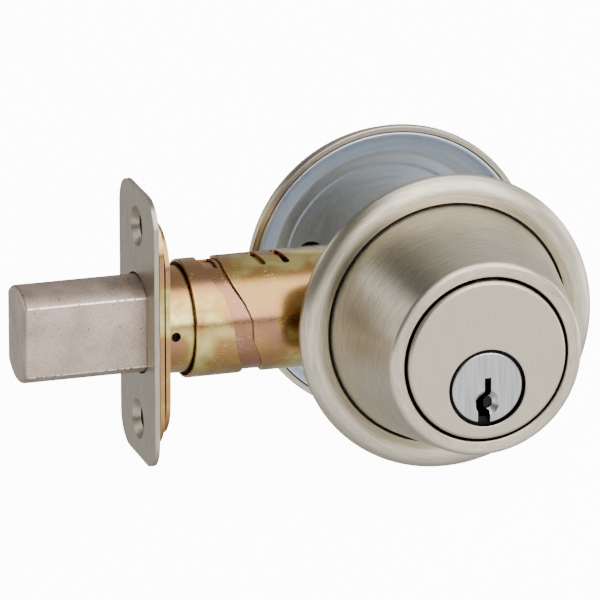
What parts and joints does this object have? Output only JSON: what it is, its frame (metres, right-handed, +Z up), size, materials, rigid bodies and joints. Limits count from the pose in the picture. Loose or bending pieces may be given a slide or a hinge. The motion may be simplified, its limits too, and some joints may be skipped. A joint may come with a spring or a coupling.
{
  "type": "deadbolt door lock",
  "caption": "Single-cylinder deadbolt: keyed round cylinder outside, thumbturn inside, and a bolt that a crank throws from a faceplate in the door's edge.",
  "frame": {"origin": "where the bolt's axis crosses the axis of the door's cross bore, halfway through the door", "axes": "+Z up, -Y out of the keyed face, -X out of the faceplate along the bolt's throw"},
  "size_m": [0.1166, 0.0911, 0.0624],
  "materials": {
    "satin_nickel": "circumferentially brushed satin nickel plate over brass or steel, lacquered",
    "bolt_steel": "tumbled and dull nickel plated steel bar with small pits",
    "yellow_zinc": "zinc plate with yellow chromate, iridescent from straw to pink and green",
    "clear_zinc": "bluish clear zinc plate on a pressed steel dish",
    "brass": "turned brass",
    "nickel_silver": "straight-brushed nickel silver",
    "hard_steel": "hardened dark steel",
    "spring_steel": "bright spring steel"
  },
  "bodies": {
    "lock_case": {"support_plate": "clear_zinc", "inside_rose": "satin_nickel", "cylinder_housing": "satin_nickel", "outside_rose": "satin_nickel", "front_tube": "yellow_zinc", "faceplate": "satin_nickel", "backing_plate": "yellow_zinc", "rear_sleeve": "yellow_zinc", "crank_case_outside": "yellow_zinc", "crank_case_inside": "yellow_zinc", "inner_sleeve": "yellow_zinc", "front_sleeve": "yellow_zinc", "mounting_screw_left": "satin_nickel", "mounting_screw_right": "satin_nickel", "chamber_spring_1": "spring_steel", "chamber_spring_2": "spring_steel", "chamber_spring_3": "spring_steel", "chamber_spring_4": "spring_steel", "chamber_spring_5": "spring_steel", "collar_washer": "spring_steel", "case_rivet_2": "nickel_silver", "case_rivet_3": "nickel_silver", "hardened_pin_left": "hard_steel", "hardened_pin_right": "hard_steel", "case_rivet_1": "nickel_silver", "driver_pin_1": "nickel_silver", "driver_pin_2": "nickel_silver", "driver_pin_3": "nickel_silver", "driver_pin_4": "nickel_silver", "driver_pin_5": "nickel_silver", "chamber_cover": "brass"},
    "key_plug": {"key_plug": "nickel_silver", "plug_cap": "brass", "key_pin_1": "brass", "key_pin_2": "brass", "key_pin_3": "brass", "key_pin_4": "brass", "key_pin_5": "brass"},
    "collar": {"cylinder_collar": "satin_nickel"},
    "dead_bolt": {"dead_bolt": "bolt_steel", "hardened_roller": "hard_steel", "tail_rivet": "nickel_silver", "bolt_tail": "yellow_zinc"},
    "crank": {"crank": "yellow_zinc"},
    "tailpiece": {"tailpiece": "nickel_silver"},
    "thumbturn": {"thumbturn": "satin_nickel", "thumbturn_clip": "spring_steel"}
  },
  "joints": [
    {"name": "thumbturn_turn", "type": "hinge", "parent": "lock_case", "child": "thumbturn", "pos_m": [0, 0.031, -0.0058], "axis": [0, 1, 0], "range_deg": [0, 90]},
    {"name": "tailpiece_turn", "type": "hinge", "parent": "lock_case", "child": "tailpiece", "pos_m": [0, 0, -0.0058], "axis": [0, 1, 0], "range_deg": [0, 90]},
    {"name": "crank_turn", "type": "hinge", "parent": "lock_case", "child": "crank", "pos_m": [0, 0, -0.0058], "axis": [0, 1, 0], "range_deg": [0, 90]},
    {"name": "bolt_throw", "type": "slide", "parent": "lock_case", "child": "dead_bolt", "axis": [1, 0, 0], "range_m": [0, 0.0254]},
    {"name": "key_plug_turn", "type": "hinge", "parent": "lock_case", "child": "key_plug", "pos_m": [0, -0.0443, -0.0058], "axis": [0, 1, 0], "range_deg": [-90, 90]},
    {"name": "collar_spin", "type": "hinge", "parent": "lock_case", "child": "collar", "pos_m": [0, -0.03, 0], "axis": [0, 1, 0], "continuous": true}
  ],
  "couplings": [
    {"joint": "thumbturn_turn", "follows": "bolt_throw", "rad_per_m": 61.842},
    {"joint": "tailpiece_turn", "follows": "bolt_throw", "rad_per_m": 61.842},
    {"joint": "crank_turn", "follows": "bolt_throw", "rad_per_m": 61.842}
  ]
}
